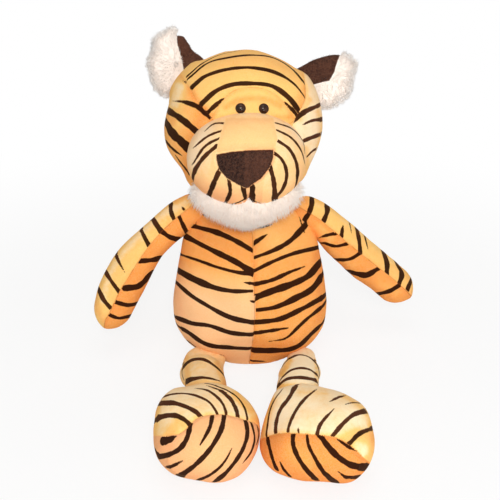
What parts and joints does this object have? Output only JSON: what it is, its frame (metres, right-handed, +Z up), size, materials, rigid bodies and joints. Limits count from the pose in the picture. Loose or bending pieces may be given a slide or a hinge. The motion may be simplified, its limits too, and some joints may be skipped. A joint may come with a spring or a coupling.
{
  "type": "plush tiger",
  "caption": "Seated stuffed toy tiger with sewn striped panels, a broad muzzle, white fur chin and ears, brown nose, safety eyes, long arms, and legs with big round feet.",
  "frame": {"origin": "the middle of the flat seat face under the torso", "axes": "+Z up, -Y the way the tiger faces, +X to the tiger's own left"},
  "size_m": [0.3383, 0.3874, 0.3203],
  "materials": {
    "striped_fabric": "short pile plush, orange with dark brown stripes",
    "plain_fabric": "short pile plush, light orange",
    "brown_fabric": "short pile plush, dark brown",
    "white_fur": "long pile fur, off-white",
    "stuffing": "loose polyester fibre",
    "eye_plastic": "glossy dark brown",
    "washer_plastic": "plain moulded"
  },
  "bodies": {
    "torso": {"torso_seat": "striped_fabric", "torso_front_left": "striped_fabric", "torso_front_right": "striped_fabric", "torso_back_left": "striped_fabric", "torso_back_right": "striped_fabric", "torso_stuffing": "stuffing"},
    "neck": {"neck_stuffing": "stuffing"},
    "head": {"head_crown": "striped_fabric", "cheek_left": "striped_fabric", "cheek_right": "striped_fabric", "head_back_left": "striped_fabric", "head_back_right": "striped_fabric", "brow_patch": "plain_fabric", "head_stuffing": "stuffing", "muzzle_bridge": "plain_fabric", "nose": "brown_fabric", "muzzle_left": "striped_fabric", "muzzle_right": "striped_fabric", "muzzle_stuffing": "stuffing", "chin_fur": "white_fur", "eye_left": "eye_plastic", "eye_right": "eye_plastic", "eye_washer_left": "washer_plastic", "eye_washer_right": "washer_plastic"},
    "ear_left": {"ear_white_left": "white_fur", "ear_brown_left": "brown_fabric"},
    "arm_left": {"arm_upper_left": "striped_fabric", "arm_lower_left": "striped_fabric", "arm_stuffing_left": "stuffing"},
    "leg_left": {"leg_outer_left": "striped_fabric", "leg_inner_left": "striped_fabric", "leg_stuffing_left": "stuffing"},
    "foot_left": {"foot_sole_left": "striped_fabric", "foot_upper_left": "striped_fabric", "foot_stuffing_left": "stuffing"},
    "ear_right": {"ear_white_right": "white_fur", "ear_brown_right": "brown_fabric"},
    "arm_right": {"arm_upper_right": "striped_fabric", "arm_lower_right": "striped_fabric", "arm_stuffing_right": "stuffing"},
    "leg_right": {"leg_outer_right": "striped_fabric", "leg_inner_right": "striped_fabric", "leg_stuffing_right": "stuffing"},
    "foot_right": {"foot_sole_right": "striped_fabric", "foot_upper_right": "striped_fabric", "foot_stuffing_right": "stuffing"},
    "tail": {"tail_cover": "striped_fabric", "tail_stuffing": "stuffing"}
  },
  "joints": [
    {"name": "neck_turn", "type": "hinge", "parent": "torso", "child": "neck", "pos_m": [0, 0.04284, 0.1539], "axis": [0, 0.2588, 0.9659], "range_deg": [-15, 15]},
    {"name": "neck_nod", "type": "hinge", "parent": "neck", "child": "head", "pos_m": [0, 0.04284, 0.1539], "axis": [-1, 0, 0], "range_deg": [0, 20]},
    {"name": "ear_fold_left", "type": "hinge", "parent": "head", "child": "ear_left", "pos_m": [0.05919, 0.08627, 0.26273], "axis": [0.2321, 0.2469, -0.9408], "range_deg": [-10, 15]},
    {"name": "shoulder_left", "type": "hinge", "parent": "torso", "child": "arm_left", "pos_m": [0.0576, 0.04089, 0.14244], "axis": [0, -1, 0], "range_deg": [0, 60]},
    {"name": "hip_left", "type": "hinge", "parent": "torso", "child": "leg_left", "pos_m": [0.0456, -0.03199, 0.01897], "axis": [-1, 0, 0], "range_deg": [-60, 15]},
    {"name": "ankle_left", "type": "hinge", "parent": "leg_left", "child": "foot_left", "pos_m": [0.04451, -0.14099, 0.03859], "axis": [-1, 0, 0], "range_deg": [-10, 15]},
    {"name": "ear_fold_right", "type": "hinge", "parent": "head", "child": "ear_right", "pos_m": [-0.05721, 0.09258, 0.27882], "axis": [0.6075, -0.2705, 0.7469], "range_deg": [-10, 15]},
    {"name": "shoulder_right", "type": "hinge", "parent": "torso", "child": "arm_right", "pos_m": [-0.0576, 0.04089, 0.14244], "axis": [-0.5061, 0.8625, 0], "range_deg": [0, 60]},
    {"name": "hip_right", "type": "hinge", "parent": "torso", "child": "leg_right", "pos_m": [-0.0456, -0.03199, 0.01897], "axis": [-1, 0, 0], "range_deg": [-60, 15]},
    {"name": "ankle_right", "type": "hinge", "parent": "leg_right", "child": "foot_right", "pos_m": [-0.04124, -0.14099, 0.03859], "axis": [-1, 0, 0], "range_deg": [-10, 15]},
    {"name": "tail_wag", "type": "hinge", "parent": "torso", "child": "tail", "pos_m": [0, 0.05969, 0.01855], "axis": [0, 0, 1], "range_deg": [-15, 15]}
  ]
}
